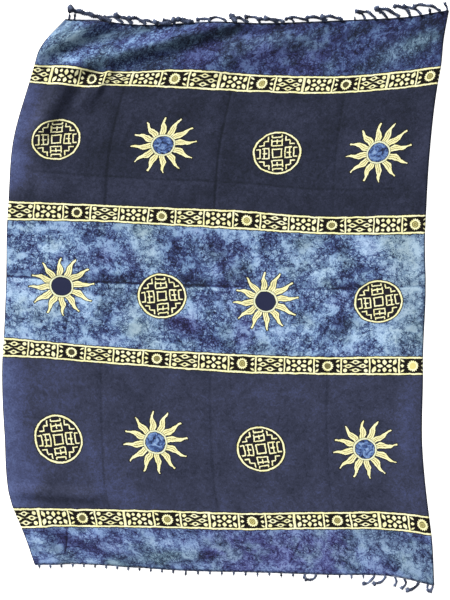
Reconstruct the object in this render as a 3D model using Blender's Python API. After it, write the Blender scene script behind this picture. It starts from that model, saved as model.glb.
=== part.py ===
"""A batik sarong laid out flat: one width of printed cloth with twisted fringe at both ends.

The cloth lies face up on z = 0. +Y is the top end of the print and +X is the right side of the face.
Everything is worked out in millimetres and turned to metres when a mesh is made.
"""

import math
from collections import namedtuple

import bpy
import numpy as np

MM = 0.001

# The cloth as it was cut, and the wall that stands for it
CLOTH_WIDTH = 1150
CLOTH_LENGTH = 1570
CLOTH_WALL = 1.2
SEAM_GAP = 0.3

# The laid cloth is measured from a point that this moves onto the origin
LAY_CENTRE = (1.4, 6.93)

# Each section is one line straight across the print, taken at a border's line, at the middle of a
# panel or at an end. Along is the length of cloth above it, left and right are where its two selvedges
# lie, and heights are where it runs at each of the stations, which are shares of its width.
STATIONS = (0.0, 0.08, 0.2, 0.35, 0.55, 0.75, 0.9, 1.0)
Section = namedtuple("Section", "name along left right heights")
SECTIONS = (
    Section("top end", 0, -440, 614, (768, 763, 752, 758, 757, 766, 775, 793)),
    Section("upper middle", 75, -496, 600, (706, 705, 690, 694, 687, 688, 699, 716)),
    Section("first border top", 150, -523, 592, (642, 638, 624, 629, 615, 611, 624, 639)),
    Section("first border foot", 195, -536, 584, (599, 591, 590, 584, 573, 569, 581, 595)),
    Section("second panel", 372, -581, 562, (436, 433, 425, 417, 407, 399, 403, 413)),
    Section("second border top", 550, -594, 551, (268, 265, 260, 252, 243, 226, 228, 231)),
    Section("second border foot", 595, -597, 549, (222, 221, 218, 210, 197, 184, 182, 185)),
    Section("third panel", 772, -600, 550, (62, 55, 44, 35, 24, 12, 12, 14)),
    Section("third border top", 950, -607, 543, (-106, -114, -127, -139, -151, -159, -158, -158)),
    Section("third border foot", 995, -610, 543, (-152, -156, -167, -180, -196, -202, -203, -203)),
    Section("fourth panel", 1190, -605, 541, (-362, -366, -373, -380, -391, -393, -393, -398)),
    Section("fourth border top", 1385, -580, 560, (-573, -574, -576, -579, -586, -584, -584, -596)),
    Section("fourth border foot", 1430, -559, 566, (-622, -619, -620, -622, -628, -625, -628, -642)),
    Section("bottom end", CLOTH_LENGTH, -522, 574, (-725, -722, -727, -739, -745, -752, -757, -782)),
)

# The folds that stand clear of the surface: each runs from start past middle to end
Fold = namedtuple("Fold", "name start middle end height half_width")
FOLDS = (
    Fold("corner swell", (-546, 642), (-425, 718), (-282, 784), 16, 40),
    Fold("main ridge", (-485, 620), (-228, 688), (107, 784), 20, 44),
    Fold("far swell", (-134, 609), (69, 686), (288, 735), 9, 60),
    Fold("border kink", (-288, 664), (-345, 592), (-398, 515), 6, 32),
    Fold("left swell", (-441, 609), (-466, 537), (-540, 417), 15, 46),
    Fold("hem lip", (-617, -521), (-466, -532), (-315, -540), 9, 28),
    Fold("bottom corner swell", (-513, -598), (-488, -672), (-441, -751), 10, 36),
    Fold("bottom swell", (-381, -614), (-310, -686), (-233, -762), 8, 38),
)
FOLD_STEPS = 60
FOLD_RUN_OUT = 0.22

# The grid of the cloth: strips close together where the folds are, and wider on the plain middle
COLUMNS = 36
RowRun = namedtuple("RowRun", "start end rows")
ROW_RUNS = (
    RowRun(0, 255, 20),
    RowRun(255, 1330, 20),
    RowRun(1330, CLOTH_LENGTH, 12),
)

# The fringe: a narrow band along the end of the cloth, and the strands that are fused into it
BAND_WIDTH = 3.5
BAND_WALL = 1.6
BAND_INSET = 1.5
STRAND_CLEARANCE = 0.9
STRAND_STEPS = 8
STRAND_STEP_LENGTH = 5.0
KNOT_SWELL = 1.3
TIP_TAPER = 0.7

# Each run is a row of like strands. First and last are where its strands leave the end of the cloth, as
# shares of its width from the left. A strand sets off at the first lean, in degrees from straight
# outwards towards the left, and has turned to the last lean at its tip. Strands lie across each other.
StrandRun = namedtuple("StrandRun", "name strands first last length first_lean last_lean radius")
TOP_RUNS = (
    StrandRun("corner stubs", 2, 0.012, 0.026, 15, -6, -2, 2.5),
    StrandRun("corner bundle", 1, 0.122, 0.122, 128, 74, 84, 4.4),
    StrandRun("first hook", 1, 0.152, 0.152, 62, 42, 118, 2.8),
    StrandRun("second", 1, 0.177, 0.177, 54, 44, 94, 3.4),
    StrandRun("third", 1, 0.2115, 0.2115, 52, 38, 104, 3.4),
    StrandRun("fourth", 1, 0.245, 0.245, 56, 56, 100, 2.8),
    StrandRun("lying flat left", 1, 0.279, 0.279, 50, 78, 88, 3.2),
    StrandRun("short crook", 1, 0.288, 0.288, 37, 42, 108, 2.4),
    StrandRun("lying thick", 2, 0.325, 0.336, 46, 62, 96, 3.6),
    StrandRun("low peak", 1, 0.379, 0.379, 42, 40, 128, 2.8),
    StrandRun("narrow arch", 1, 0.421, 0.421, 52, 40, 122, 2.4),
    StrandRun("big knot", 1, 0.444, 0.444, 24, 10, 60, 5.0),
    StrandRun("beside the knot", 1, 0.478, 0.478, 50, 52, 90, 3.2),
    StrandRun("steep arch", 1, 0.508, 0.508, 52, 18, 128, 2.8),
    StrandRun("lying middle", 2, 0.556, 0.573, 56, 62, 94, 3.0),
    StrandRun("short rise", 1, 0.597, 0.597, 20, 30, 60, 2.6),
    StrandRun("long arch", 1, 0.635, 0.635, 72, 52, 112, 2.6),
    StrandRun("flat pair", 2, 0.683, 0.724, 60, 60, 98, 3.2),
    StrandRun("short nub", 1, 0.755, 0.755, 8, 0, 0, 2.5),
    StrandRun("tied short", 1, 0.7815, 0.7815, 26, 16, 62, 2.6),
    StrandRun("tied long", 1, 0.809, 0.809, 62, 30, 112, 3.0),
    StrandRun("joined short", 1, 0.840, 0.840, 32, 34, 62, 3.0),
    StrandRun("joined long", 1, 0.871, 0.871, 76, 40, 92, 3.6),
    StrandRun("straight then left", 1, 0.898, 0.898, 60, 2, 108, 3.2),
    StrandRun("long lean", 1, 0.928, 0.928, 60, 30, 84, 2.7),
    StrandRun("return loop", 1, 0.951, 0.951, 12, 0, 0, 3.4),
    StrandRun("longest lean", 1, 0.978, 0.978, 80, 40, 100, 3.0),
    StrandRun("corner hook", 1, 0.995, 0.995, 23, -18, 48, 2.4),
)
BOTTOM_RUNS = (
    StrandRun("turned under left", 13, 0.012, 0.347, 8, 0, 0, 2.5),
    StrandRun("longer nub", 1, 0.3786, 0.3786, 12, 0, 10, 2.5),
    StrandRun("turned under middle", 9, 0.409, 0.6465, 8, 0, 0, 2.5),
    StrandRun("short hooked", 1, 0.676, 0.676, 13, 5, 30, 3.0),
    StrandRun("long hooked", 1, 0.704, 0.704, 40, 12, 128, 2.6),
    StrandRun("turned under right", 4, 0.733, 0.822, 8, 0, 0, 2.5),
    StrandRun("swept", 2, 0.850, 0.878, 44, 22, 86, 2.7),
    StrandRun("short hook", 1, 0.900, 0.900, 28, -58, 50, 2.4),
    StrandRun("hook", 1, 0.923, 0.923, 37, -72, 95, 2.4),
    StrandRun("long hook", 1, 0.960, 0.960, 46, 0, 96, 3.0),
    StrandRun("corner loop", 1, 0.984, 0.984, 20, 14, -50, 2.8),
    StrandRun("corner return", 1, 0.996, 0.996, 20, -6, 40, 3.0),
)


def smooth(known, values, at):
    """Values at the places asked for, on cubic pieces that pass through the known ones."""
    known = np.asarray(known, float)
    values = np.asarray(values, float)
    slopes = np.gradient(values, known, axis=0)
    piece = np.clip(np.searchsorted(known, at, side="right") - 1, 0, len(known) - 2)
    shape = (-1,) + (1,) * (values.ndim - 1)
    span = (known[piece + 1] - known[piece]).reshape(shape)
    t = ((at - known[piece]) / (known[piece + 1] - known[piece])).reshape(shape)
    return (
        (1 + 2 * t) * (1 - t) ** 2 * values[piece]
        + t * (1 - t) ** 2 * span * slopes[piece]
        + t**2 * (3 - 2 * t) * values[piece + 1]
        + t**2 * (t - 1) * span * slopes[piece + 1]
    )


def ease(share):
    """0 to 1 with a level start and end."""
    share = np.clip(share, 0.0, 1.0)
    return share * share * (3 - 2 * share)


def fold_height(x, y):
    """How far the folds lift the cloth at a place on the surface it lies on."""
    height = np.zeros_like(x)
    t = np.linspace(0, 1, FOLD_STEPS)
    for fold in FOLDS:
        start, middle, end = (np.array(point, float) for point in (fold.start, fold.middle, fold.end))
        bend = 2 * middle - (start + end) / 2
        crest = (
            np.outer((1 - t) ** 2, start) + np.outer(2 * t * (1 - t), bend) + np.outer(t**2, end)
        )
        away = np.hypot(x[..., None] - crest[:, 0], y[..., None] - crest[:, 1])
        nearest = away.argmin(axis=-1)
        distance = np.take_along_axis(away, nearest[..., None], axis=-1)[..., 0]
        run = ease(t / FOLD_RUN_OUT) * ease((1 - t) / FOLD_RUN_OUT)
        profile = np.cos(np.clip(distance / fold.half_width, 0, 1) * math.pi / 2) ** 2
        height += fold.height * run[nearest] * profile
    return height


def lay(across, along):
    """Where the cloth lies: a grid of x, y and the height of its underside, rows by columns."""
    alongs = [section.along for section in SECTIONS]
    left = smooth(alongs, [section.left for section in SECTIONS], along)
    right = smooth(alongs, [section.right for section in SECTIONS], along)
    station_heights = smooth(alongs, [section.heights for section in SECTIONS], along)
    x = left[:, None] + (right - left)[:, None] * across[None, :]
    y = smooth(STATIONS, station_heights.T, across).T
    z = fold_height(x, y)
    return np.stack((x - LAY_CENTRE[0], y - LAY_CENTRE[1], z), axis=-1)


def cloth_columns():
    return np.linspace(0, 1, COLUMNS + 1)


def cloth_rows():
    rows = [np.linspace(run.start, run.end, run.rows, endpoint=False) for run in ROW_RUNS]
    return np.append(np.concatenate(rows), CLOTH_LENGTH)


def add_object(name, points, faces, finish):
    mesh = bpy.data.meshes.new(name)
    mesh.from_pydata([tuple(point) for point in np.asarray(points) * MM], [], faces)
    mesh.validate()
    made = bpy.data.objects.new(name, mesh)
    made.data.materials.append(finish)
    bpy.context.scene.collection.objects.link(made)
    return made


def cloth_material(name, colour, roughness):
    material = bpy.data.materials.new(name)
    material.use_nodes = True
    shader = material.node_tree.nodes["Principled BSDF"]
    shader.inputs["Base Color"].default_value = (*colour, 1)
    shader.inputs["Roughness"].default_value = roughness
    shader.inputs["Metallic"].default_value = 0
    return material


def wall_faces(rows, columns):
    """Faces of a closed wall: a top grid, an under grid of the same size after it, and the rim."""
    under = rows * columns
    faces = []
    for row in range(rows - 1):
        for column in range(columns - 1):
            corner = row * columns + column
            below = corner + columns
            faces.append((corner, below, below + 1, corner + 1))
            faces.append((under + corner, under + corner + 1, under + below + 1, under + below))
    last = (rows - 1) * columns
    top_end = list(range(columns))
    right_side = [columns - 1 + row * columns for row in range(rows)]
    bottom_end = list(range(last + columns - 1, last - 1, -1))
    left_side = [row * columns for row in range(rows - 1, -1, -1)]
    for side in (top_end, right_side, bottom_end, left_side):
        for first, second in zip(side, side[1:]):
            faces.append((first, second, under + second, under + first))
    return faces


def make_cloth():
    """The cloth, a wall of even thickness over its own laid form."""
    under = lay(cloth_columns(), cloth_rows())
    top = under + (0, 0, CLOTH_WALL)
    rows, columns = under.shape[:2]
    points = np.concatenate((top.reshape(-1, 3), under.reshape(-1, 3)))
    finish = cloth_material("printed rayon", (0.045, 0.06, 0.16), 0.85)
    return add_object("panel", points, wall_faces(rows, columns), finish)


def cloth_end(along, outwards):
    """One end of the cloth, left to right, with the level direction that leads out of it."""
    line = lay(cloth_columns(), np.array([float(along)]))[0]
    run = np.gradient(line[:, :2], axis=0)
    run /= np.linalg.norm(run, axis=1)[:, None]
    out = np.stack((-run[:, 1], run[:, 0]), axis=1) * outwards
    return line, out


def make_band(name, line, out, finish):
    """The narrow band that the strands are fused into, just off the end of the cloth."""
    reach = np.append(0, np.cumsum(np.linalg.norm(np.diff(line[:, :2], axis=0), axis=1)))
    inside = np.clip(reach, BAND_INSET, reach[-1] - BAND_INSET)
    line = np.stack([np.interp(inside, reach, line[:, axis]) for axis in range(3)], axis=1)
    out = np.stack([np.interp(inside, reach, out[:, axis]) for axis in range(2)], axis=1)
    near = line.copy()
    near[:, :2] += out * SEAM_GAP
    far = line.copy()
    far[:, :2] += out * (SEAM_GAP + BAND_WIDTH)
    count = len(line)
    points = np.concatenate((near + (0, 0, BAND_WALL), far + (0, 0, BAND_WALL), near, far))
    faces = wall_faces(2, count)
    return add_object(name, points, faces, finish)


def strand_path(root, out, run, edge_height):
    """A strand's middle line: its direction turns evenly from the first lean to the last."""
    steps = min(STRAND_STEPS, max(2, round(run.length / STRAND_STEP_LENGTH)))
    share = np.linspace(0, 1, steps + 1)
    middle = (share[1:] + share[:-1]) / 2
    lean = np.radians(run.first_lean + (run.last_lean - run.first_lean) * middle)
    leftwards = np.array((-out[1], out[0])) * math.copysign(1, out[1])
    heading = np.outer(np.cos(lean), out) + np.outer(np.sin(lean), leftwards)
    start = np.asarray(root)[:2] + out * (SEAM_GAP + BAND_WIDTH / 2)
    plan = start + np.concatenate(([(0, 0)], np.cumsum(heading, axis=0))) * run.length / steps
    drop = edge_height * (1 - ease(share))
    return np.column_stack((plan, STRAND_CLEARANCE + run.radius + drop)), share


def strand_points(path, share, strand_radius):
    """Rings of four points round the path, with a knot before the tip."""
    heading = np.gradient(path, axis=0)
    heading /= np.linalg.norm(heading, axis=1)[:, None]
    level = np.cross(heading, (0, 0, 1))
    level /= np.linalg.norm(level, axis=1)[:, None]
    upright = np.cross(level, heading)
    radius = np.full(len(share), strand_radius)
    radius[-1] *= TIP_TAPER
    path = path.copy()
    if len(share) > 3:
        radius[-2] *= KNOT_SWELL
        path[-2, 2] += strand_radius * (KNOT_SWELL - 1)
    ring = (level, upright, -level, -upright)
    return np.concatenate([[path[i] + radius[i] * side[i] for side in ring] for i in range(len(share))])


def strand_faces(rings, first):
    faces = [tuple(first + i for i in (3, 2, 1, 0))]
    for ring in range(rings - 1):
        base = first + 4 * ring
        for side in range(4):
            turn = (side + 1) % 4
            faces.append((base + side, base + turn, base + 4 + turn, base + 4 + side))
    last = first + 4 * (rings - 1)
    faces.append(tuple(last + i for i in (0, 1, 2, 3)))
    return faces


def make_fringe(name, along, outwards, runs, finish):
    """A band with its strands, made one body."""
    line, out = cloth_end(along, outwards)
    band = make_band(name, line, out, finish)
    columns = cloth_columns()
    points = []
    faces = []
    for run in runs:
        for share in np.linspace(run.first, run.last, run.strands):
            root = [np.interp(share, columns, line[:, axis]) for axis in range(3)]
            direction = np.array([np.interp(share, columns, out[:, axis]) for axis in range(2)])
            direction /= np.linalg.norm(direction)
            path, steps = strand_path(root, direction, run, root[2])
            faces += strand_faces(len(steps), len(points))
            points += list(strand_points(path, steps, run.radius))
    strands = add_object(f"{name}_strands", points, faces, finish)
    strands.hide_render = True
    strands.display_type = "WIRE"
    union = band.modifiers.new("strands fused into the band", "BOOLEAN")
    union.operation = "UNION"
    union.solver = "EXACT"
    union.use_self = True
    union.object = strands
    return band


def main():
    for old in list(bpy.data.objects):
        bpy.data.objects.remove(old, do_unlink=True)
    make_cloth()
    yarn = cloth_material("twisted yarn", (0.03, 0.035, 0.06), 0.9)
    make_fringe("fringe_top", 0, 1, TOP_RUNS, yarn)
    make_fringe("fringe_bottom", CLOTH_LENGTH, -1, BOTTOM_RUNS, yarn)


main()
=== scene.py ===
# %% [markdown]
# # The looks of a batik sarong
# A sarong is one width of thin rayon, about 1.15 m by 1.57 m, with its own threads twisted into fringe at
# both ends. It is waxed, dyed and cracked in several baths, so the print is part of the cloth and not on it.
# This lesson dresses the plain solid with a finer cloth, its creases, its whole print and its fringe.
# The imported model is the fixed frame: the new pieces lie where its solids lie.

# %% The frame
import math
from collections import namedtuple
from functools import reduce

import bpy
import numpy as np
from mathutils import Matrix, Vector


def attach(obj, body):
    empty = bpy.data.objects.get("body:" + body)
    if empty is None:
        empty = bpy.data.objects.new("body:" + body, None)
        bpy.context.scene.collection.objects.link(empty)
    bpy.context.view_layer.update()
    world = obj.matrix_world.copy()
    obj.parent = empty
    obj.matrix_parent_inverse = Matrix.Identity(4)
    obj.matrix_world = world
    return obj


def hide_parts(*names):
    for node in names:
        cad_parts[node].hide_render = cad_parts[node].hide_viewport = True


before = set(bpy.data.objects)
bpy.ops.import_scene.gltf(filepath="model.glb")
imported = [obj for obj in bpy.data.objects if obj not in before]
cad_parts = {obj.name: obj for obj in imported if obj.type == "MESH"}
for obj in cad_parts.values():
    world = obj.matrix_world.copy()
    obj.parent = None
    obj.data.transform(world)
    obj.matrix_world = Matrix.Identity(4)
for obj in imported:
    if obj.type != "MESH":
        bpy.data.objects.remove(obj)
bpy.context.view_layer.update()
MM = 0.001
print("nodes in the frame:", sorted(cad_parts))

# %% [markdown]
# ## Colours
# Dye and wax colours are picked as sRGB hex values, the way a paint shop or a web page gives them. Shaders
# work in linear light, so one function undoes the sRGB curve.


# %% Hex colours to linear light
def linear(code):
    """Red, green, blue and 1 in linear light, from a hex code: the sRGB curve undone for each channel."""
    shades = [int(code[i : i + 2], 16) / 255 for i in (1, 3, 5)]
    return (*[s / 12.92 if s <= 0.04045 else ((s + 0.055) / 1.055) ** 2.4 for s in shades], 1.0)


print("wax yellow in linear light:", [round(shade, 3) for shade in linear("#F4EFAE")])

# %% [markdown]
# ## Camera and light
# The cloth is seen from straight above through a long lens, which keeps its outline true right into the
# corners. The key light is broad and comes low from the top left, because only a low light draws the soft
# folds of a thin cloth. The bright room around fills the shadows.

# %% Camera and light
PICTURE = (450, 600)
MM_A_PIXEL = 2.742
LAY_CENTRE = (1.4, 6.93)
LENS = 85.0
SENSOR = 36.0
KEY_FROM = (-0.58, 0.62, 0.50)
KEY_POWER = 5.4
KEY_BREADTH = 16
ROOM_LIGHT = 0.42

camera_data = bpy.data.cameras.new("camera")
camera_data.lens = LENS
camera_data.sensor_width = SENSOR
camera_data.clip_end = 100
camera = bpy.data.objects.new("camera", camera_data)
camera_height = PICTURE[1] * MM_A_PIXEL * LENS / SENSOR
camera.location = (-LAY_CENTRE[0] * MM, -LAY_CENTRE[1] * MM, camera_height * MM)
bpy.context.scene.collection.objects.link(camera)
bpy.context.scene.camera = camera

key_data = bpy.data.lights.new("key", "SUN")
key_data.energy = KEY_POWER
key_data.angle = math.radians(KEY_BREADTH)
key_data.color = (1.0, 0.985, 0.96)
key = bpy.data.objects.new("key", key_data)
key.rotation_mode = "QUATERNION"
key.rotation_quaternion = Vector(KEY_FROM).to_track_quat("Z", "Y")
bpy.context.scene.collection.objects.link(key)

world = bpy.data.worlds.new("bright room")
world.use_nodes = True
world.node_tree.nodes["Background"].inputs["Color"].default_value = linear("#FCFDFF")
world.node_tree.nodes["Background"].inputs["Strength"].default_value = ROOM_LIGHT
bpy.context.scene.world = world
bpy.context.scene.view_settings.view_transform = "Standard"
print("camera height", round(camera_height), "mm")

# %% [markdown]
# ## Adding nodes
# A material is a network of nodes, and a printed cloth needs a few hundred of them. One small function
# adds any node: what is given in order fills its inputs in order, a name with a capital is an input, and
# any other name is a setting. The kind may be followed by the setting that matters most to it, such as the
# operation of a Math node. It hands back the node's output, so calls nest like a sum.


# %% One function for every node
MAIN_SETTING = {
    "Math": "operation", "VectorMath": "operation", "Mix": "data_type", "MapRange": "interpolation_type",
}


def node(kind, *inputs, output=0, stops=(), stepped=False, points=(), **named):
    """Adds a node to the network being made, fills or links its inputs, and returns one of its outputs. The
    kind's second word is its main setting, and a hex code is a colour. Stops are the places and colours of a
    colour scale, and points are those of a curve, first to last."""
    kind, _, main = kind.partition(" ")
    made = network.nodes.new("ShaderNode" + kind)
    if main:
        setattr(made, MAIN_SETTING[kind], main)
    for name, value in named.items():
        if name[0].islower():
            setattr(made, name, value)
    by_name = {name.replace("_", " "): value for name, value in named.items() if name[0].isupper()}
    in_order = list(zip([socket for socket in made.inputs if socket.enabled], inputs))
    for socket, value in in_order + [(made.inputs[name], value) for name, value in by_name.items()]:
        if isinstance(value, bpy.types.NodeSocket):
            network.links.new(value, socket)
        else:
            socket.default_value = linear(value) if isinstance(value, str) else value
    for number in range(1, len(stops) - 1):
        made.color_ramp.elements.new(number / len(stops))
    if stops:
        made.color_ramp.interpolation = "CONSTANT" if stepped else "LINEAR"
        for element, (place, shade) in zip(made.color_ramp.elements, stops):
            element.position = place
            element.color = linear(shade) if isinstance(shade, str) else shade
    for number in range(1, len(points) - 1):
        made.mapping.curves[0].points.new(number / len(points), 0)
    if points:
        for mark, place in zip(made.mapping.curves[0].points, points):
            mark.location = place
        made.mapping.update()
    if isinstance(output, str):
        return made.outputs[output]
    given = [socket for socket in made.outputs if socket.enabled]
    return given[output] if given else None


def start_material(name):
    """An empty node network of that name, which the next calls of node fill."""
    material = bpy.data.materials.new(name)
    material.use_nodes = True
    material.node_tree.nodes.clear()
    return material, material.node_tree


# %% [markdown]
# ## The floor
# A plain white light table lies under the cloth. It only has to be clean, wide and matt, and its own faint
# glow keeps the shadows of the fringe pale.

# %% Floor
FLOOR_HALF = 9000
FLOOR_LEVEL = -0.4
FLOOR_GLOW = 0.85
floor_mesh = bpy.data.meshes.new("floor")
floor_corners = np.array(((-1, -1), (1, -1), (1, 1), (-1, 1))) * FLOOR_HALF
floor_corners = np.column_stack((floor_corners, np.full(4, FLOOR_LEVEL))) * MM
floor_mesh.from_pydata(floor_corners, [], [(0, 1, 2, 3)])
floor = bpy.data.objects.new("floor", floor_mesh)
bpy.context.scene.collection.objects.link(floor)
board, network = start_material("white light table")
glow = node("Emission", "#FFFFFF", FLOOR_GLOW)
node("OutputMaterial", node("AddShader", node("BsdfDiffuse", "#F9F9F9"), glow))
floor_mesh.materials.append(board)
print("floor at", FLOOR_LEVEL, "mm")

# %% [markdown]
# ## How the cloth lies
# A rectangle of cloth laid on a floor never lies quite square. Fourteen straight lines across the print, at
# its borders, in the middle of its panels and at its ends, say where it lies. Each gives its two selvedges
# and where it runs in between, and smooth curves join them. These are the sizes that the solid was made from.

# %% Sections and folds of the lay
CLOTH_WIDTH = 1150
CLOTH_LENGTH = 1570
STATIONS = (0.0, 0.08, 0.2, 0.35, 0.55, 0.75, 0.9, 1.0)
Section = namedtuple("Section", "name along left right heights")
SECTIONS = (
    Section("top end", 0, -440, 614, (768, 763, 752, 758, 757, 766, 775, 793)),
    Section("upper middle", 75, -496, 600, (706, 705, 690, 694, 687, 688, 699, 716)),
    Section("first border top", 150, -523, 592, (642, 638, 624, 629, 615, 611, 624, 639)),
    Section("first border foot", 195, -536, 584, (599, 591, 590, 584, 573, 569, 581, 595)),
    Section("second panel", 372, -581, 562, (436, 433, 425, 417, 407, 399, 403, 413)),
    Section("second border top", 550, -594, 551, (268, 265, 260, 252, 243, 226, 228, 231)),
    Section("second border foot", 595, -597, 549, (222, 221, 218, 210, 197, 184, 182, 185)),
    Section("third panel", 772, -600, 550, (62, 55, 44, 35, 24, 12, 12, 14)),
    Section("third border top", 950, -607, 543, (-106, -114, -127, -139, -151, -159, -158, -158)),
    Section("third border foot", 995, -610, 543, (-152, -156, -167, -180, -196, -202, -203, -203)),
    Section("fourth panel", 1190, -605, 541, (-362, -366, -373, -380, -391, -393, -393, -398)),
    Section("fourth border top", 1385, -580, 560, (-573, -574, -576, -579, -586, -584, -584, -596)),
    Section("fourth border foot", 1430, -559, 566, (-622, -619, -620, -622, -628, -625, -628, -642)),
    Section("bottom end", CLOTH_LENGTH, -522, 574, (-725, -722, -727, -739, -745, -752, -757, -782)),
)

# Each fold or crease runs from start past middle to end, in mm on the lay. A height under zero is a trough.
Fold = namedtuple("Fold", "name start middle end height half_width")
FOLDS = (
    Fold("corner swell", (-546, 642), (-425, 718), (-282, 784), 16, 40),
    Fold("main ridge", (-485, 620), (-228, 688), (107, 784), 20, 44),
    Fold("far swell", (-134, 609), (69, 686), (288, 735), 9, 60),
    Fold("border kink", (-288, 664), (-345, 592), (-398, 515), 6, 32),
    Fold("left swell", (-441, 609), (-466, 537), (-540, 417), 15, 46),
    Fold("hem lip", (-617, -521), (-466, -532), (-315, -540), 9, 28),
    Fold("bottom corner swell", (-513, -598), (-488, -672), (-441, -751), 10, 36),
    Fold("bottom swell", (-381, -614), (-310, -686), (-233, -762), 8, 38),
)
FOLD_STEPS = 60
FOLD_RUN_OUT = 0.22


def smooth(known, values, at):
    """Values at the places asked for, on cubic pieces that pass through the known ones."""
    known = np.asarray(known, float)
    values = np.asarray(values, float)
    slopes = np.gradient(values, known, axis=0)
    piece = np.clip(np.searchsorted(known, at, side="right") - 1, 0, len(known) - 2)
    shape = (-1,) + (1,) * (values.ndim - 1)
    span = (known[piece + 1] - known[piece]).reshape(shape)
    t = ((at - known[piece]) / (known[piece + 1] - known[piece])).reshape(shape)
    return (
        (1 + 2 * t) * (1 - t) ** 2 * values[piece]
        + t * (1 - t) ** 2 * span * slopes[piece]
        + t**2 * (3 - 2 * t) * values[piece + 1]
        + t**2 * (t - 1) * span * slopes[piece + 1]
    )


def ease(share):
    """0 to 1 with a level start and end: share squared times three less twice the share."""
    share = np.clip(share, 0.0, 1.0)
    return share * share * (3 - 2 * share)


def fold_height(x, y, folds, sharpness=0.0):
    """How far folds lift the cloth. Each crest is a parabola through three points. Across it the height
    falls off as a squared cosine, or as a squared straight line where the crease is sharp, and it runs out
    at both ends."""
    height = np.zeros_like(x)
    t = np.linspace(0, 1, FOLD_STEPS)
    for fold in folds:
        start, middle, end = (np.array(point, float) for point in (fold.start, fold.middle, fold.end))
        bend = 2 * middle - (start + end) / 2
        crest = np.outer((1 - t) ** 2, start) + np.outer(2 * t * (1 - t), bend) + np.outer(t**2, end)
        reach = fold.half_width
        low, high = crest.min(axis=0) - reach, crest.max(axis=0) + reach
        near = (x > low[0]) & (x < high[0]) & (y > low[1]) & (y < high[1])
        away = np.hypot(x[near][:, None] - crest[:, 0], y[near][:, None] - crest[:, 1])
        nearest = away.argmin(axis=-1)
        distance = np.take_along_axis(away, nearest[:, None], axis=-1)[:, 0]
        run = ease(t / FOLD_RUN_OUT) * ease((1 - t) / FOLD_RUN_OUT)
        share = np.clip(distance / reach, 0, 1)
        profile = (1 - sharpness) * np.cos(share * math.pi / 2) ** 2 + sharpness * (1 - share) ** 2
        height[near] += fold.height * run[nearest] * profile
    return height


def lay(across, along):
    """Where the cloth lies: a grid of x, y and the height of the solid's underside, rows by columns."""
    alongs = [section.along for section in SECTIONS]
    left = smooth(alongs, [section.left for section in SECTIONS], along)
    right = smooth(alongs, [section.right for section in SECTIONS], along)
    station_heights = smooth(alongs, [section.heights for section in SECTIONS], along)
    x = left[:, None] + (right - left)[:, None] * across[None, :]
    y = smooth(STATIONS, station_heights.T, across).T
    z = fold_height(x, y, FOLDS)
    return np.stack((x - LAY_CENTRE[0], y - LAY_CENTRE[1], z), axis=-1)


check = lay(np.array((0.0, 1.0)), np.array((0.0, 785.0)))
print("corners and mid selvedges at", check[..., :2].round().tolist())

# %% [markdown]
# ## Creases
# The cloth was sold folded in a packet, so three creases run along it and three across it. Each is a
# shallow trough with a sharp line in the middle and a soft swell on one side, where the fold lay. Smaller
# ripples fan out where the cloth was pulled. Both are given as lines with a height and a width, because a
# simulation would put them elsewhere.

# %% Packing creases and ripples
PackingCrease = namedtuple("PackingCrease", "name at slant depth half_width swell")
LENGTHWAYS_CREASES = (
    PackingCrease("left", 270, 0, 0.8, 11, 1.2),
    PackingCrease("middle", 569, 0, 0.9, 11, 1.4),
    PackingCrease("right", 889, 0, 0.8, 11, 1.0),
)
CROSSWAYS_CREASES = (
    PackingCrease("upper", 395, 0, 0.4, 14, 0.4),
    PackingCrease("middle", 757, -22, 1.1, 9, 2.8),
    PackingCrease("lower", 1150, 0, 0.5, 14, 0.5),
)
RIPPLES = (
    Fold("corner hollow", (-510, 655), (-385, 702), (-215, 745), -2.0, 26),
    Fold("beside the corner hollow", (-500, 700), (-400, 742), (-300, 768), 2.0, 22),
    Fold("foot of the main ridge", (-350, 618), (-200, 668), (40, 738), -2.5, 28),
    Fold("brow of the main ridge", (-330, 660), (-190, 704), (60, 768), 2.5, 22),
    Fold("crease over the first border", (-298, 645), (-330, 603), (-356, 556), 4.0, 12),
    Fold("below the first border", (-372, 578), (-390, 545), (-417, 512), 2.4, 13),
    Fold("foot of the left swell", (-425, 545), (-440, 500), (-452, 470), 1.6, 16),
    Fold("sharp nick at the foot", (-425, -556), (-430, -625), (-432, -694), -2.6, 14),
    Fold("beside the nick", (-400, -560), (-404, -620), (-408, -680), 2.0, 16),
    Fold("slant over the border", (-288, -510), (-270, -475), (-252, -439), 1.6, 13),
    Fold("foot ripple one", (186, -658), (184, -692), (183, -727), 1.8, 14),
    Fold("foot ripple two", (417, -672), (441, -699), (466, -727), 1.8, 14),
    Fold("left arc", (-458, -472), (-430, -486), (-398, -494), 1.5, 14),
    Fold("left hem pucker one", (-600, -560), (-540, -566), (-480, -560), 2.2, 18),
    Fold("left hem pucker two", (-590, -610), (-545, -640), (-520, -690), 2.4, 20),
    Fold("top edge dip", (0, 728), (110, 728), (230, 745), -4.0, 24),
    Fold("foot diagonal hollow", (-470, -630), (-385, -672), (-262, -722), -4.0, 22),
    Fold("foot diagonal brow", (-440, -700), (-350, -650), (-200, -690), 3.0, 26),
    Fold("top right dip", (330, 760), (400, 700), (450, 650), 2.4, 34),
    Fold("top right lift", (430, 775), (490, 720), (540, 670), 2.6, 30),
    Fold("upper left slack", (-520, 380), (-500, 300), (-520, 210), 2.4, 30),
    Fold("right slack", (500, 420), (520, 300), (515, 180), 2.0, 26),
    Fold("mid left slack", (-560, 60), (-520, 0), (-540, -90), 2.0, 30),
    Fold("low right slack", (470, -250), (500, -350), (505, -470), 2.2, 30),
)
print(len(RIPPLES), "ripples and", len(LENGTHWAYS_CREASES) + len(CROSSWAYS_CREASES), "packing creases")

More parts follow.
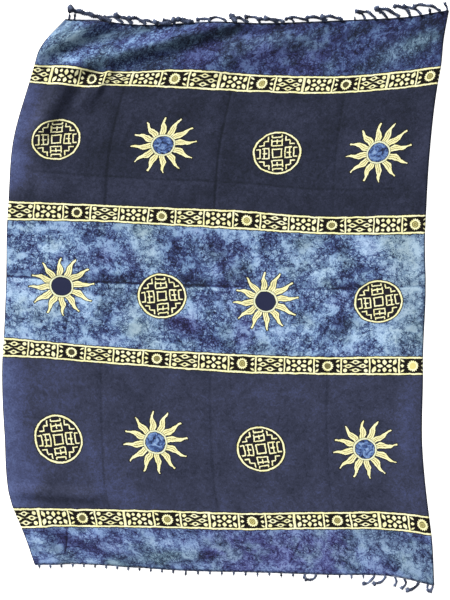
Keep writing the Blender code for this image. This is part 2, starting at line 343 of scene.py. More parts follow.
# %% [markdown]
# ## The cloth as a shell
# The cloth is a grid of points, finer beside the packing creases, and then a thin shell half a millimetre
# thick. Each point keeps its place on the flat cloth as a UV coordinate in metres, so the print bends with
# the cloth and its motifs keep their real size.

# %% Cloth shell
COLUMNS = 188
ROWS = 252
SHELL = 0.5
LEVEL = 1.1
LOWEST = 0.3
SLACK_HEIGHT = 0.8
SLACK_WAVES = 14
SWELL_BEFORE = 24
SWELL_BREADTH = 17


def crowded(length, count, lines, spread, crowding):
    """Points from 0 to a length, closer together near the lines: their density is one plus a bell round
    each line, and equal shares of its running total give the points."""
    fine = np.linspace(0, length, 4001)
    density = 1 + crowding * sum(np.exp(-(((fine - line) / spread) ** 2)) for line in lines)
    total = np.concatenate(([0], np.cumsum((density[1:] + density[:-1]) / 2)))
    return np.interp(np.linspace(0, total[-1], count + 1), total, fine)


def slack(x, y, seed):
    """Soft unevenness of a limp cloth: a sum of crossing waves, each 90 to 300 mm long, scaled to -1 to 1."""
    dice = np.random.default_rng(seed)
    total = np.zeros_like(x)
    for _ in range(SLACK_WAVES):
        direction = dice.uniform(0, math.pi)
        length = dice.uniform(90, 300)
        phase = dice.uniform(0, 2 * math.pi)
        total += np.sin((x * math.cos(direction) + y * math.sin(direction)) * 2 * math.pi / length + phase)
    return total / np.abs(total).max()


def crease_depth(across, along, x, y):
    """How deep the packing creases are: a squared straight fall-off from each line, less a bell-shaped swell
    before it, and both are uneven along the line."""
    depth = np.zeros((len(along), len(across)))
    uneven_along = 0.75 + 0.25 * slack(x, y, 5)
    aside, down = across[None, :], along[:, None] / CLOTH_LENGTH
    away = []
    for crease in LENGTHWAYS_CREASES:
        away.append((aside * CLOTH_WIDTH - crease.at - crease.slant * (down - 0.5), crease))
    for crease in CROSSWAYS_CREASES:
        away.append((down * CLOTH_LENGTH - crease.at - crease.slant * (aside - 0.5), crease))
    for distance, crease in away:
        share = np.clip(np.abs(distance) / crease.half_width, 0, 1)
        swell = np.exp(-(((distance + SWELL_BEFORE) / SWELL_BREADTH) ** 2))
        depth = depth + crease.depth * (1 - share) ** 2 - crease.swell * swell
    return depth * uneven_along


def make_object(name, points, faces, material):
    """A smooth mesh object at the origin, from points in mm and their faces."""
    mesh = bpy.data.meshes.new(name)
    mesh.from_pydata(np.asarray(points) * MM, [], faces)
    mesh.materials.append(material)
    mesh.shade_smooth()
    made = bpy.data.objects.new(name, mesh)
    bpy.context.scene.collection.objects.link(made)
    return made


def grid_faces(rows, columns):
    """Quads of a grid stored row by row, from the top row down, facing up."""
    corner = (np.arange(rows - 1)[:, None] * columns + np.arange(columns - 1)).ravel()
    return np.stack((corner, corner + columns, corner + columns + 1, corner + 1), axis=1)


across = crowded(CLOTH_WIDTH, COLUMNS, [crease.at for crease in LENGTHWAYS_CREASES], 12, 1.6) / CLOTH_WIDTH
along = crowded(CLOTH_LENGTH, ROWS, [crease.at for crease in CROSSWAYS_CREASES], 14, 1.8)
surface = lay(across, along)
lay_x = surface[..., 0] + LAY_CENTRE[0]
lay_y = surface[..., 1] + LAY_CENTRE[1]
relief = (
    LEVEL
    + SLACK_HEIGHT * slack(lay_x, lay_y, 3)
    + fold_height(lay_x, lay_y, RIPPLES, 0.6)
    - crease_depth(across, along, lay_x, lay_y)
)
surface[..., 2] = np.maximum(surface[..., 2] + relief, LOWEST) + SHELL / 2
print("cloth grid", surface.shape[:2], "highest point", round(float(surface[..., 2].max()), 1), "mm")

# %% [markdown]
# ## The print, as distances
# Wax is laid on the cloth with stamps, and dye stays out of the waxed parts. A stamped shape has a clean but
# slightly swollen edge. Such shapes are worked out here as distances in millimetres: each function says how
# far a place lies outside a shape, under zero inside it. The smallest of several distances joins shapes.

# %% Distances to simple shapes
def oval(place, centre, half, pointed=0.0):
    """Distance outside an oval: the offset from its centre in half sizes, its length less one, times the
    smaller half. A share of the offset's sum of sides in place of its length draws the oval out to points."""
    offset = node("VectorMath SUBTRACT", place, (*centre, 0))
    offset = node("VectorMath DIVIDE", offset, (*half, 1))
    size = node("VectorMath LENGTH", offset, output="Value")
    if pointed:
        offset = node("VectorMath ABSOLUTE", offset)
        sides = node("VectorMath DOT_PRODUCT", offset, (pointed, pointed, 0), output="Value")
        size = node("Math MULTIPLY_ADD", size, 1 - pointed, sides)
    return node("Math MULTIPLY_ADD", size, min(half), -min(half))


def bar(place, centre, half):
    """Distance outside a bar: the larger of how far the place is past its sides and past its ends."""
    offset = node("VectorMath SUBTRACT", place, (*centre, 0))
    offset = node("VectorMath ABSOLUTE", offset)
    offset = node("VectorMath SUBTRACT", offset, (*half, 0))
    past = node("SeparateXYZ", offset).node.outputs
    return node("Math MAXIMUM", past[0], past[1])


def line_round(distance, half_width):
    """Distance outside a line that follows a shape's edge, half its width to either side."""
    size = node("Math ABSOLUTE", distance)
    return node("Math SUBTRACT", size, half_width)


def cut_by(distance, hole):
    """Distance outside a shape with a hole in it: the larger of its own and the hole's turned round."""
    return node("Math MAXIMUM", distance, node("Math MULTIPLY", hole, -1.0))


def joined(*distances):
    """Distance outside all of the shapes together, the smallest of theirs."""
    return reduce(lambda first, second: node("Math MINIMUM", first, second), distances)


def paint(under, colour, distance, edge=0.6, at=0.0, strength=1.0):
    """The colour inside a shape, out to a distance from its edge, and what is under it everywhere else."""
    share = node("MapRange SMOOTHSTEP", distance, at + edge, at - edge, 0.0, strength)
    return node("Mix RGBA", share, under, colour)


def swung(value, by, amount):
    """A value moved up and down by a noise: the noise less its middle, times the amount."""
    swing = node("Math SUBTRACT", by, 0.5)
    return node("Math MULTIPLY_ADD", swing, amount, value)


def shaken(place, read_at, size, detail, shift):
    """A place moved about by a noise of that size: the noise less its middle, times the shift in mm."""
    noise = node("TexNoise", read_at, Scale=1 / size, Detail=detail, output="Color")
    noise = node("VectorMath SUBTRACT", noise, (0.5, 0.5, 0.5))
    return node("VectorMath MULTIPLY_ADD", noise, (shift, shift, 0), place)


# %% [markdown]
# ## Where the motifs are stamped
# Six suns and six coins stand in three rows, in turn. Their centres are given on the flat cloth, as a share
# of its width and mm from its top end. Only the nearest one matters at any place, so the offset to the
# nearest centre is kept, and each motif is drawn once.

# %% Centres of the motifs
Centre = namedtuple("Centre", "across along")
SUNS = (
    Centre(0.359, 363), Centre(0.8760, 370), Centre(0.132, 785),
    Centre(0.619, 795), Centre(0.3610, 1199), Centre(0.862, 1207),
)
COINS = (
    Centre(0.102, 362), Centre(0.633, 372), Centre(0.372, 795),
    Centre(0.888, 789), Centre(0.129, 1202), Centre(0.613, 1206),
)


def from_nearest(place, centres):
    """The offset from the nearest of the centres: each new one takes over where it is closer."""
    best = None
    for centre in centres:
        offset = node("VectorMath SUBTRACT", place, (centre.across * CLOTH_WIDTH, centre.along, 0))
        size = node("VectorMath LENGTH", offset, output="Value")
        if best is None:
            best, best_size = offset, size
            continue
        closer = node("Math LESS_THAN", size, best_size)
        best = node("Mix VECTOR", closer, best, offset)
        best_size = node("Math MINIMUM", size, best_size)
    return best


# %% [markdown]
# ## The suns
# A sun has twelve flame-like rays round a disc. No two rays are alike: a short table gives the direction
# of each tip and root in degrees and its reach in mm. A colour ramp with hard steps holds the table, since it
# can hand back three numbers for each direction, and the rest is sums.

# %% Rays of a sun
Ray = namedtuple("Ray", "tip root reach")
RAYS = (
    Ray(-174.0, -171.0, 89), Ray(-144.6, -145.2, 90), Ray(-114.6, -118.3, 86), Ray(-84.4, -86.5, 83),
    Ray(-54.0, -52.5, 84), Ray(-22.8, -18.0, 90), Ray(8.3, 13.0, 91), Ray(36.0, 40.5, 92),
    Ray(65.2, 68.5, 88), Ray(92.6, 100.0, 81), Ray(130.4, 132.5, 82), Ray(160.7, 155.5, 85),
)
LONGEST = 100.0
SWAY = 1.8
RAY_TO_WIDTH = 10.0
SUN_DISC = (28.0, 26.9)
SUN_RING = 5.2
RAY_START = 33.0
RAY_WIDTHS = ((0.0, 0.66), (0.14, 0.77), (0.27, 0.82), (0.5, 0.59), (0.67, 0.37), (0.8, 0.26), (1.0, 0.17))


def ray_table():
    """Stops of a stepped colour scale round the whole circle, one for each ray: its tip and root direction
    as shares of 400 degrees, and its reach as a share of the longest."""
    before = [RAYS[-1]._replace(tip=RAYS[-1].tip - 360, root=RAYS[-1].root - 360)]
    after = [RAYS[0]._replace(tip=RAYS[0].tip + 360, root=RAYS[0].root + 360)]
    rays = before + list(RAYS) + after
    middles = [(ray.tip + ray.root) / 2 for ray in rays]
    stops = []
    for earlier, ray, middle in zip(middles, rays[1:], middles[1:]):
        place = max(0.0, ((earlier + middle) / 2 + 180) / 360)
        stops.append((place, ((ray.tip + 180) / 400, (ray.root + 180) / 400, ray.reach / LONGEST, 1)))
    return [stop for stop in stops if stop[0] < 1]


def sun(offset):
    """Distance outside a sun's disc and outside the whole sun, how far down a ray a place is, from 0 to 1,
    and how far to the side of the ray's middle, which bends as it goes out and sways in an S."""
    across_sun, down_sun = node("SeparateXYZ", offset).node.outputs[:2]
    up = node("Math MULTIPLY", down_sun, -1.0)
    direction = node("Math ARCTAN2", up, across_sun)
    share = node("MapRange", direction, -math.pi, math.pi, 0.0, 1.0)
    size = node("VectorMath LENGTH", offset, output="Value")
    table = node("ValToRGB", share, stops=ray_table(), stepped=True)
    tip, root, reach = node("SeparateXYZ", table).node.outputs
    reach = node("Math MULTIPLY", reach, LONGEST)
    t = node("MapRange", size, RAY_START, reach, 0.0, 1.0)
    middle = node("Mix FLOAT", node("Math POWER", t, 0.7), root, tip)
    middle = node("Math MULTIPLY_ADD", middle, math.radians(400), -math.pi)
    turn = node("Math SUBTRACT", direction, middle)
    sideways = node("Math MULTIPLY", turn, size)
    sway = node("Math SINE", node("Math MULTIPLY_ADD", t, 8.0, reach))
    sideways = node("Math MULTIPLY_ADD", sway, SWAY, sideways)
    half_width = node("FloatCurve", Value=t, points=RAY_WIDTHS)
    bumps = node("Math SINE", node("Math MULTIPLY_ADD", t, 17.0, reach))
    half_width = node("Math MULTIPLY_ADD", bumps, 0.05, half_width)
    half_width = node("Math MULTIPLY", half_width, RAY_TO_WIDTH)
    from_side = node("Math SUBTRACT", node("Math ABSOLUTE", sideways), half_width)
    from_tip = node("Math SUBTRACT", size, reach)
    ray = node("Math SMOOTH_MAX", from_side, from_tip, 2.0)
    from_disc = oval(offset, (0, 0), SUN_DISC)
    ring = node("Math SUBTRACT", from_disc, SUN_RING)
    return from_disc, node("Math SMOOTH_MIN", ray, ring, 1.5), t, sideways


# %% [markdown]
# ## The coins
# Each coin is a ring round a dark ground, with a square frame in the middle and fret strokes about it. The
# strokes are a plain key pattern: one quarter is drawn and turned to the four sides, so it spells nothing.

# %% Frets of a coin
COIN_HALF = (63.8, 59.4)
COIN_LINE = 2.1
COIN_TILT = 7.0
FRAME_HALF = (12.0, 12.0)
STROKE = 1.6
CLEAR_OF_RIM = 6.0
FRET_BARS = (
    ((0, 22), (13, STROKE)), ((14.5, 31), (STROKE, 10)), ((0, 33), (STROKE, 6)), ((7, 35), (8, STROKE)),
    ((0, 46), (14, STROKE)), ((24, 42), (STROKE, 7)), ((29, 36), (6, STROKE)), ((13, 51), (STROKE, 5)),
)


def coin(offset):
    """Distance outside the strokes of a coin, and distance outside its rim."""
    rim = oval(offset, (0, 0), COIN_HALF)
    ring = line_round(rim, COIN_LINE)
    place = node("VectorRotate", offset, (0, 0, 0), Angle=math.radians(COIN_TILT), rotation_type="Z_AXIS")
    parts = node("SeparateXYZ", node("VectorMath ABSOLUTE", place)).node.outputs
    larger = node("Math MAXIMUM", parts[0], parts[1])
    smaller = node("Math MINIMUM", parts[0], parts[1])
    quarter = node("CombineXYZ", smaller, larger, 0.0)
    square = line_round(bar(place, (0, 0), FRAME_HALF), STROKE)
    strokes = joined(*[bar(quarter, centre, half) for centre, half in FRET_BARS])
    inner = node("Math ADD", rim, CLEAR_OF_RIM)
    strokes = node("Math MAXIMUM", strokes, inner)
    return joined(ring, square, strokes), rim


# %% [markdown]
# ## The borders
# Four bands run across the cloth between pairs of waxed lines. Each repeats a flower of petals, a toothed
# disc and a net of lozenge eyes, parted by thin uprights. All four come from one drawing: the distance from
# the nearest band's middle, and the place in its repeat, which starts and stretches a little differently in
# each.

# %% Cells of a border
# Each fill is how yellow one of a band's five discs is inside, from the left: 0 is black. The figures below
# give their shapes by centre and half size, in mm from the middle of their cell.
Border = namedtuple("Border", "along start repeat fills")
BORDERS = (
    Border(172.5, 55.9, 237.2, (0.03, 0.7, 0.75, 0.1, 0.6)),
    Border(572.5, 71.6, 233.8, (0.05, 0.4, 0.85, 0.45, 0.7)),
    Border(972.5, 68.4, 233.8, (0.08, 0.4, 0.65, 0.3, 1.0)),
    Border(1407.5, 62.7, 236.7, (0.2, 0.6, 0.8, 0.55, 0.7)),
)
DISCS = 5
BAND_HALF = 22.5
BAND_LINE = 2.3
DIVIDER = 2.15
FLOWER_CELL = 81.0
DISC_CELL = 75.0
NET_CELL = 78.5
DISC_TEETH = 16
DISC_RADIUS = 14.2
TOOTH = 1.3
DISC_HOLLOW = 9.0
FAR = 99.0
BAND_CUT = 60.0


def border_place(place):
    """A place from the nearest band: mm into its repeat, mm down from its middle, repeats from the left,
    and the number of the band."""
    across_cloth, down_cloth = node("SeparateXYZ", place).node.outputs[:2]
    held = (BORDERS[0].along, BORDERS[0].start, BORDERS[0].repeat)
    number = 0.0
    for border, after in zip(BORDERS, BORDERS[1:]):
        past = node("Math GREATER_THAN", down_cloth, (border.along + after.along) / 2)
        change = (after.along - border.along, after.start - border.start, after.repeat - border.repeat)
        held = node("VectorMath ADD", node("VectorMath SCALE", change, Scale=past), held)
        number = node("Math ADD", past, number)
    middle, start, repeat = node("SeparateXYZ", held).node.outputs
    down = node("Math SUBTRACT", down_cloth, middle)
    from_start = node("Math SUBTRACT", across_cloth, start)
    in_repeat = node("Math FLOORED_MODULO", from_start, repeat)
    count = node("Math FLOOR", node("Math DIVIDE", from_start, repeat))
    return in_repeat, down, count, number


def flower(corner):
    """Distance outside a flower: four pointed petals, four buds between them and a leaf in each corner."""
    leaf_place = node("VectorRotate", corner, (29.0, 10.0, 0), Angle=math.radians(24), rotation_type="Z_AXIS")
    return joined(
        oval(corner, (0, 10.0), (6.1, 7.2), 0.6),
        oval(corner, (12.9, 0), (8.3, 4.8), 0.65),
        oval(corner, (15.2, 12.7), (4.4, 3.8), 0.15),
        oval(leaf_place, (29.0, 10.2), (5.1, 8.3), 0.4),
    )


def disc(corner, place):
    """Distance outside a toothed disc with wedges and ticks beside it, and the distance from its middle."""
    across_disc, down_disc = node("SeparateXYZ", place).node.outputs[:2]
    direction = node("Math ARCTAN2", down_disc, across_disc)
    teeth = node("Math SINE", node("Math MULTIPLY", direction, DISC_TEETH))
    size = node("VectorMath LENGTH", place, output="Value")
    outer = node("Math MULTIPLY_ADD", teeth, -TOOTH, size)
    outer = node("Math SUBTRACT", outer, DISC_RADIUS)
    ring = cut_by(outer, node("Math SUBTRACT", size, DISC_HOLLOW))
    tick_place = node("VectorRotate", corner, (28.5, 13.8, 0), Angle=math.radians(58), rotation_type="Z_AXIS")
    tick = oval(tick_place, (28.5, 13.8), (2.5, 6.4), 0.5)
    return joined(ring, oval(corner, (28.0, 0), (5.2, 4.4), 0.75), tick), size


def eye(corner, centre):
    """Distance outside an eye: a pointed body with thin tips to both sides and a small hole."""
    body = joined(oval(corner, centre, (11.0, 6.0), 0.45), oval(corner, centre, (16.5, 2.7), 0.8))
    return cut_by(body, oval(corner, centre, (5.4, 2.9), 0.25))


def border(place):
    """Distances outside a band's waxed lines and figures and outside the band, the distance from the middle
    of its discs, and how yellow their insides are."""
    in_repeat, down, count, number = border_place(place)
    cells = []
    start = 0.0
    for width in (FLOWER_CELL, DISC_CELL, NET_CELL):
        sideways = node("Math SUBTRACT", in_repeat, start + width / 2)
        cells.append(node("CombineXYZ", sideways, down, 0.0))
        start += width
    corners = [node("VectorMath ABSOLUTE", cell) for cell in cells]
    disc_shape, disc_size = disc(corners[1], cells[1])
    eyes = [eye(corners[2], centre) for centre in ((0, 11.6), (19.6, 0))]
    net = joined(*eyes, oval(corners[2], (28.4, 12.6), (5.4, 5.0), 0.1))
    after_flower = node("Math GREATER_THAN", in_repeat, FLOWER_CELL)
    after_disc = node("Math GREATER_THAN", in_repeat, FLOWER_CELL + DISC_CELL)
    figure = node("Mix FLOAT", after_flower, flower(corners[0]), disc_shape)
    figure = node("Mix FLOAT", after_disc, figure, net)
    edges = (0, FLOWER_CELL, FLOWER_CELL + DISC_CELL, FLOWER_CELL + DISC_CELL + NET_CELL)
    uprights = [line_round(node("Math SUBTRACT", in_repeat, edge), DIVIDER) for edge in edges]
    band = node("Math SUBTRACT", node("Math ABSOLUTE", down), BAND_HALF)
    figures = node("Math MAXIMUM", joined(*uprights, figure), band)
    fills = [fill for border in BORDERS for fill in border.fills]
    order = node("Math ADD", node("Math MULTIPLY_ADD", number, DISCS, count), 0.5)
    order = node("Math DIVIDE", order, len(fills))
    steps = [(step / len(fills), (fill, fill, fill, 1)) for step, fill in enumerate(fills)]
    fill = node("ValToRGB", order, stops=steps, stepped=True)
    disc_size = node("Mix FLOAT", after_flower, FAR, disc_size)
    disc_size = node("Mix FLOAT", after_disc, disc_size, FAR)
    disc_size = node("Math MAXIMUM", disc_size, node("Math MULTIPLY", band, BAND_CUT))
    return joined(line_round(band, BAND_LINE), figures), band, disc_size, fill


# %% [markdown]
# ## The dye, with painted light and shade
# Between the borders lie two kinds of panel. The dark ones were dipped until they were almost even. The
# pale ones were crumpled before the bath, so the blue is mottled: flat and pale where the cloth was
# shielded, deep where the bath pooled, with small dark curls, veins and flecks where the dye ran along the
# crumples. Noise of several sizes makes these, and soft strokes, listed one by one, make the light and deep
# parts of each panel, as a brush would. Other strokes paint light and shade into the colour: painted shade
# in fold troughs and along packing creases, painted highlights on fold ridges and beside creases, and
# painted light on the left side of the dark panels.

# %% Strokes of the dye, and of painted light and shade
# A stroke's row says how far across and along the flat cloth it starts, the same for its end, half its width,
# all in mm, and its lift. It fades out to its sides.
Stroke = namedtuple("Stroke", "start end half_width lift")


def by_hand(*rows):
    """Strokes from rows of six numbers."""
    return [Stroke(row[:2], row[2:4], *row[4:]) for row in rows]


# Many of these strokes are painted light and shade, not dye: painted highlights on the corner swell and the
# main ridge near the top left corner, painted shade in the fold troughs there and along the top edge, painted
# shade above and in the middle packing crease with a painted highlight below it, and painted shade in the
# creases at the foot. The dark patch at the bottom left is partly dye and partly painted shade.
PALE_DYE_AND_PAINTED_SHADING_STROKES = by_hand(
    (20, 20, 50, 50, 80, 0.30), (6, 112, 256, 2, 26, -0.06), (50, 136, 330, 22, 34, 0.08),
    (150, 135, 520, 22, 24, -0.05), (0, 100, 280, 60, 120, 0.13), (10, 128, 100, 140, 44, 0.14),
    (330, 120, 420, 90, 50, -0.05), (500, 20, 700, 4, 22, -0.22), (540, 90, 640, 60, 60, 0.05),
    (830, 50, 965, 0, 24, -0.24), (1000, 110, 1110, 70, 40, 0.13), (1060, 40, 1090, 20, 36, -0.16),
    (1130, 0, 1150, 130, 26, -0.2), (640, 60, 700, 130, 60, -0.05), (130, 670, 160, 700, 60, 0.13),
    (380, 620, 390, 690, 52, 0.17), (350, 840, 400, 930, 54, 0.17), (490, 830, 560, 860, 46, 0.10),
    (40, 820, 200, 830, 80, 0.16), (250, 640, 300, 730, 80, -0.10), (440, 640, 500, 700, 60, -0.16),
    (455, 860, 500, 880, 34, -0.26), (590, 660, 640, 720, 60, -0.18), (560, 900, 640, 870, 60, -0.12),
    (960, 630, 1120, 640, 60, 0.15), (1100, 640, 1110, 800, 60, 0.13), (840, 690, 860, 700, 60, 0.14),
    (900, 630, 925, 650, 32, -0.26), (930, 740, 1000, 720, 46, -0.14), (880, 880, 940, 840, 44, -0.18),
    (980, 890, 1060, 880, 60, 0.12), (760, 860, 820, 880, 60, 0.08), (0, 755, 600, 747, 22, -0.22),
    (600, 747, 1000, 735, 18, -0.05), (0, 768, 600, 760, 6, -0.40), (600, 760, 1150, 746, 5, -0.26),
    (0, 778, 600, 770, 9, 0.18), (600, 770, 1150, 756, 9, 0.08), (122, 1446, 96, 1530, 5, -0.4),
    (774, 1470, 738, 1536, 5, -0.34), (986, 1474, 1032, 1528, 5, -0.22), (60, 640, 50, 900, 130, 0.06),
    (500, 640, 560, 900, 110, -0.06), (1090, 640, 1110, 900, 90, 0.05), (60, 700, 60, 740, 60, -0.05),
    (270, 815, 280, 900, 50, -0.06), (60, 1440, 110, 1470, 34, -0.24), (110, 1480, 290, 1556, 26, -0.24),
    (30, 1480, 70, 1540, 30, 0.12), (150, 1455, 250, 1515, 26, 0.10), (240, 1500, 400, 1480, 30, 0.16),
    (120, 1556, 180, 1562, 16, 0.22), (420, 1520, 480, 1500, 30, 0.08), (490, 1518, 520, 1516, 20, -0.24),
    (620, 1490, 660, 1520, 50, -0.10), (960, 1510, 1120, 1510, 70, 0.10), (880, 1470, 930, 1455, 22, -0.14),
    (1010, 1530, 1040, 1540, 24, -0.14),
)
# Some of these strokes are painted light and shade, not dye: the first and the fifth are painted light on the
# left side of the two dark panels, and the thin ones along and beside the packing creases are painted shade,
# with painted highlights beside two of them.
DARK_DYE_AND_PAINTED_SHADING_STROKES = by_hand(
    (10, 230, 0, 480, 80, 0.55), (120, 500, 500, 500, 70, 0.06), (30, 430, 100, 500, 60, 0.2),
    (1120, 260, 1130, 460, 50, 0.12), (0, 1040, 20, 1340, 110, 0.42), (140, 1040, 300, 1320, 120, 0.14),
    (270, 205, 264, 560, 7, -0.16), (569, 205, 566, 560, 6, -0.2), (576, 205, 573, 560, 8, 0.07),
    (889, 205, 892, 560, 6, -0.12), (60, 459, 1060, 472, 6, -0.12), (60, 467, 1060, 480, 8, 0.05),
    (270, 1000, 268, 1380, 6, -0.12), (569, 1000, 570, 1380, 6, -0.12), (889, 1000, 886, 1380, 6, -0.10),
    (60, 1150, 1100, 1160, 6, -0.08), (1110, 1030, 1130, 1340, 70, 0.16), (720, 1240, 840, 1300, 70, 0.06),
)
# The seventh and eighth strokes tint the painted shade in the fold troughs near the top left corner greenish
# grey.
TEAL_DYE_AND_SHADE_TINT_STROKES = by_hand(
    (1090, 620, 1120, 900, 110, 0.75), (380, 620, 390, 690, 60, 0.6), (350, 840, 400, 930, 60, 0.6),
    (980, 100, 1110, 60, 60, 0.7), (20, 20, 60, 60, 80, 0.5), (230, 1556, 470, 1520, 40, 0.7),
    (6, 112, 256, 2, 34, 0.8), (150, 130, 520, 22, 30, 0.8), (960, 1440, 1140, 1540, 90, 0.5),
    (800, 640, 880, 720, 70, 0.35),
)
PURPLE_STROKES = by_hand(
    (430, 60, 780, 90, 90, 0.55), (90, 850, 260, 700, 60, 0.2), (455, 860, 510, 880, 50, 0.6),
    (560, 1500, 860, 1500, 110, 0.75), (590, 660, 660, 900, 70, 0.35), (120, 300, 330, 520, 60, 0.2),
)

# Where the cloth was stretched before it dried, the pulls shift the print across it and the drops along it.
# The drops end at a step, where one stamp of the border met the next.
PULLS = by_hand((300, 160, 350, 185, 210, 10.5), (1130, 560, 1150, 590, 80, 5.0))
DROPS = by_hand((205, 160, 205, 190, 120, -6.5))
DROP_STEP = 203
STEP_BLEND = 9
# The last border leans back against the slant of the narrowing end, by this much of the place's height in
# it. The lean is full from the left selvedge to LEAN_FULL, and fades out towards the right one.
LEAN = 0.24
LEAN_REACH = 30.0
LEAN_FULL = 500


def strokes(place, marks):
    """How much the strokes lift a value at a place: each falls off smoothly with the distance from its line,
    whose nearest point is the place's share along it, kept between 0 and 1."""
    total = 0.0
    for mark in marks:
        run = np.subtract(mark.end, mark.start).astype(float)
        offset = node("VectorMath SUBTRACT", place, (*mark.start, 0))
        share = node("VectorMath DOT_PRODUCT", offset, (*(run / (run @ run)), 0), output="Value")
        share = node("Clamp", share)
        nearest = node("VectorMath SCALE", (*run, 0), Scale=share)
        away = node("VectorMath DISTANCE", offset, nearest, output="Value")
        lift = node("MapRange SMOOTHSTEP", away, mark.half_width, 0.0, 0.0, mark.lift)
        total = node("Math ADD", lift, total)
    return total


# %% [markdown]
# ## Printed rayon
# Rayon challis is a limp plain weave of matt spun threads. It takes dye deeply and has a soft, low sheen when
# it is lit from the side. The dye goes right through, so the back shows the same print. The shader is rough,
# with a little sheen, and the weave is drawn as a fine bump, about twice as coarse as the real threads.

# %% Printed rayon: mottle
# Sizes of the noise in mm. Curls are where a noise passes its middle, veins are the edges of crumpled cells,
# flecks are the peaks of the specks, and all three keep to places where the crowd noise is high.
CLOUD, MOTTLE, SPECK, HUE, CURL, CROWD, POOL = 110, 30, 8, 90, 22, 55, 32
CRUMPLE, CRUMPLE_SHIFT, VEIN_CELL = 13, 16, 17
rayon, network = start_material("printed rayon challis")
flat = node("VectorMath MULTIPLY", node("UVMap", uv_map="cloth"), (1000, 1000, 0))
cloud = node("TexNoise", flat, Scale=1 / CLOUD, Detail=3.0, Roughness=0.55, Distortion=0.5)
mottle = node("TexNoise", flat, Scale=1 / MOTTLE, Detail=5.0, Roughness=0.68, Distortion=1.2)
speck_place = node("VectorMath ADD", flat, (311, 170, 0))
speck = node("TexNoise", speck_place, Scale=1 / SPECK, Detail=2.0, Roughness=0.6, Distortion=1.5)
hue = node("TexNoise", speck_place, Scale=1 / HUE, Detail=3.0, Roughness=0.6)
curl_place = node("VectorMath ADD", flat, (70, 410, 0))
crowd = node("TexNoise", curl_place, Scale=1 / CROWD, Detail=3.0)
curl = node("TexNoise", curl_place, Scale=1 / CURL, Detail=2.0, Roughness=0.6, Distortion=1.8)
curl = node("Math ABSOLUTE", node("Math SUBTRACT", curl, 0.5))
curl = node("MapRange SMOOTHSTEP", curl, 0.065, 0.03, 0.0, 1.0)
crumpled = shaken(curl_place, curl_place, CRUMPLE, 2.0, CRUMPLE_SHIFT)
vein = node("TexVoronoi", crumpled, Scale=1 / VEIN_CELL, feature="DISTANCE_TO_EDGE", voronoi_dimensions="2D")
vein = node("MapRange SMOOTHSTEP", vein, 0.13, 0.05, 0.0, 0.9)
fleck = node("MapRange SMOOTHSTEP", speck, 0.55, 0.62, 0.0, 1.0)
run_in = 0.0
for shape, low, high in ((curl, 0.42, 0.52), (vein, 0.45, 0.53), (fleck, 0.4, 0.5)):
    shape = node("Math MULTIPLY", shape, node("MapRange", crowd, low, high, 0.0, 1.0))
    run_in = node("Math MAXIMUM", shape, run_in)
pool = node("TexNoise", curl_place, Scale=1 / POOL, Detail=5.0, Roughness=0.7, Distortion=1.0)
pool = node("MapRange SMOOTHSTEP", pool, 0.48, 0.53, 0.38, 0.62)
print("mottle:", len(network.nodes), "nodes")

# %% Printed rayon: which panel
# Each panel is given by its middle and half its length along the cloth, in mm.
down_cloth = node("SeparateXYZ", flat, output=1)
in_middle_panel = node("Math COMPARE", down_cloth, 772, 200)
in_last_panel = node("Math COMPARE", down_cloth, BORDERS[3].along + 150, 150)
first_dark = node("Math COMPARE", down_cloth, (BORDERS[0].along + BORDERS[1].along) / 2, 200)
second_dark = node("Math COMPARE", down_cloth, (BORDERS[2].along + BORDERS[3].along) / 2, 217)
in_foot_border = node("Math COMPARE", down_cloth, BORDERS[3].along, 50)
in_dark_panel = node("Math MAXIMUM", first_dark, second_dark)
print("mottle and panels:", len(network.nodes), "nodes")

# %% Printed rayon: dye, with painted light and shade
# The tone is 0 where the dye is deepest and 1 where it is palest. No noise lifts it far past the shielded
# cloth's tone, and the end panels have less contrast than the middle one.
TONE, SHIELDED, CALM = 0.465, 0.57, 0.45
MIDDLE_LIFT, LAST_LIFT = 0.28, 0.24
DEPTH, SECOND_LIFT = 0.24, 0.2
tone = swung(swung(swung(swung(TONE, cloud, 0.45), mottle, 0.5), speck, 1.2), pool, 1.15)
tone = node("Math SMOOTH_MIN", tone, SHIELDED, 0.1)
tone = node("Math MULTIPLY_ADD", run_in, -0.4, tone)
# The pale strokes add painted shade and painted highlights of the folds and creases to the tone, besides
# other lighter and deeper strokes.
tone = node("Math ADD", tone, strokes(flat, PALE_DYE_AND_PAINTED_SHADING_STROKES))
tone = node("Math MULTIPLY_ADD", in_middle_panel, MIDDLE_LIFT, tone)
tone = node("Math MULTIPLY_ADD", in_last_panel, LAST_LIFT, tone)
contrast = node("MapRange", in_middle_panel, 0.0, 1.0, 0.8, 1.0)
tone = node("Math MULTIPLY_ADD", node("Math SUBTRACT", tone, CALM), contrast, CALM)
tone = swung(tone, speck, 0.35)
blue_dye = node("ValToRGB", tone, stops=(
    (0.0, "#1A1D30"), (0.2, "#272C50"), (0.38, "#38456F"), (0.52, "#50658E"), (0.66, "#6D8AB2"),
    (0.82, "#8EAACC"), (1.0, "#ADC9E4"),
))
teal_dye = node("ValToRGB", tone, stops=(
    (0.0, "#1C222E"), (0.3, "#33425A"), (0.52, "#526A80"), (0.7, "#7890A4"), (1.0, "#9AB0BE"),
))
purple_dye = node("ValToRGB", tone, stops=(
    (0.0, "#1D1A30"), (0.3, "#302F5A"), (0.52, "#4C5286"), (0.7, "#6A77A8"), (1.0, "#98A9D0"),
))
teal_dye_and_shade_tint = node("MapRange", hue, 0.5, 0.36, 0.0, 0.6)
